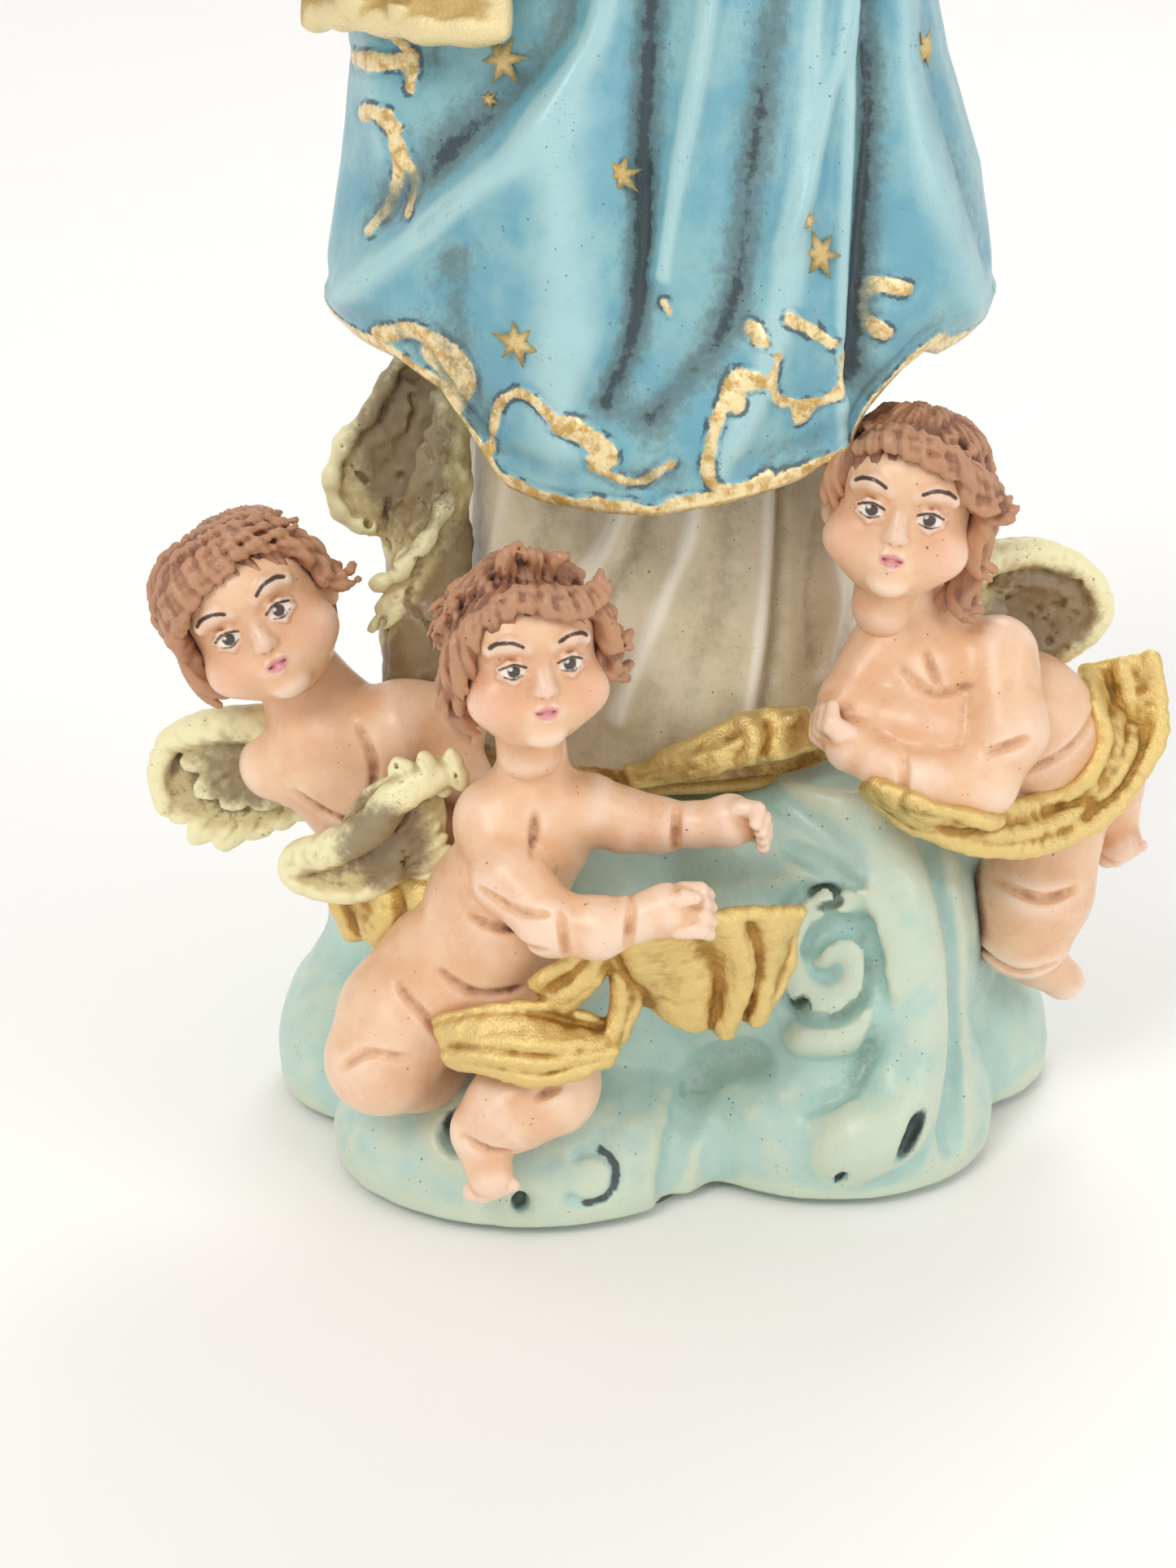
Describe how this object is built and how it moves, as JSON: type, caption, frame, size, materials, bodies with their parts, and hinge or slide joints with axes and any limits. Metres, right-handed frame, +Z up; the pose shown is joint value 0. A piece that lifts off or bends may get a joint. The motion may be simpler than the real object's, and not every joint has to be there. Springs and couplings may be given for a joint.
{
  "type": "madonna statue",
  "caption": "Hand-painted resin madonna in a blue gilt-edged mantle, standing on a mint cloud with three cherubs, assembled from glued castings.",
  "frame": {"origin": "on the table, under the middle of the cloud base, at the felt pad's underside", "axes": "+Z up the figure, -Y the front that the figure faces, +X the figure's left hand"},
  "size_m": [0.0764, 0.0586, 0.16],
  "materials": {
    "felt": "matt felt",
    "cloud_paint": "satin mint paint with a dark wash",
    "gown_paint": "satin cream paint with an umber wash",
    "mantle_paint": "satin blue paint, washed dark in the folds and dry-brushed light on the ridges",
    "gilt": "brushed-on gold paint, satin",
    "flesh": "satin flesh paint",
    "hair_paint": "satin brown paint",
    "wing_paint": "satin yellow-cream paint with an umber wash",
    "steel": "drawn steel rod"
  },
  "bodies": {
    "root": {"felt_pad": "felt", "cloud_base": "cloud_paint", "gown": "gown_paint", "mantle": "mantle_paint", "mantle_turnback": "gilt", "hood": "mantle_paint", "head": "flesh", "sleeve_right": "gown_paint", "sleeve_left": "gown_paint", "hands": "flesh", "front_cherub_body": "flesh", "front_cherub_head": "flesh", "front_cherub_arm_right": "flesh", "front_cherub_arm_left": "flesh", "front_cherub_wing": "wing_paint", "front_cherub_drape": "gilt", "front_cherub_sash": "gilt", "side_cherub_bust": "flesh", "side_cherub_head": "flesh", "side_cherub_wing_low": "wing_paint", "side_cherub_wing_high": "wing_paint", "leaning_cherub_body": "flesh", "leaning_cherub_head": "flesh", "leaning_cherub_arm": "flesh", "leaning_cherub_wing": "wing_paint", "leaning_cherub_drape": "gilt", "figure_dowel": "steel", "head_peg": "steel", "cherub_pegs": "steel"}
  },
  "joints": []
}
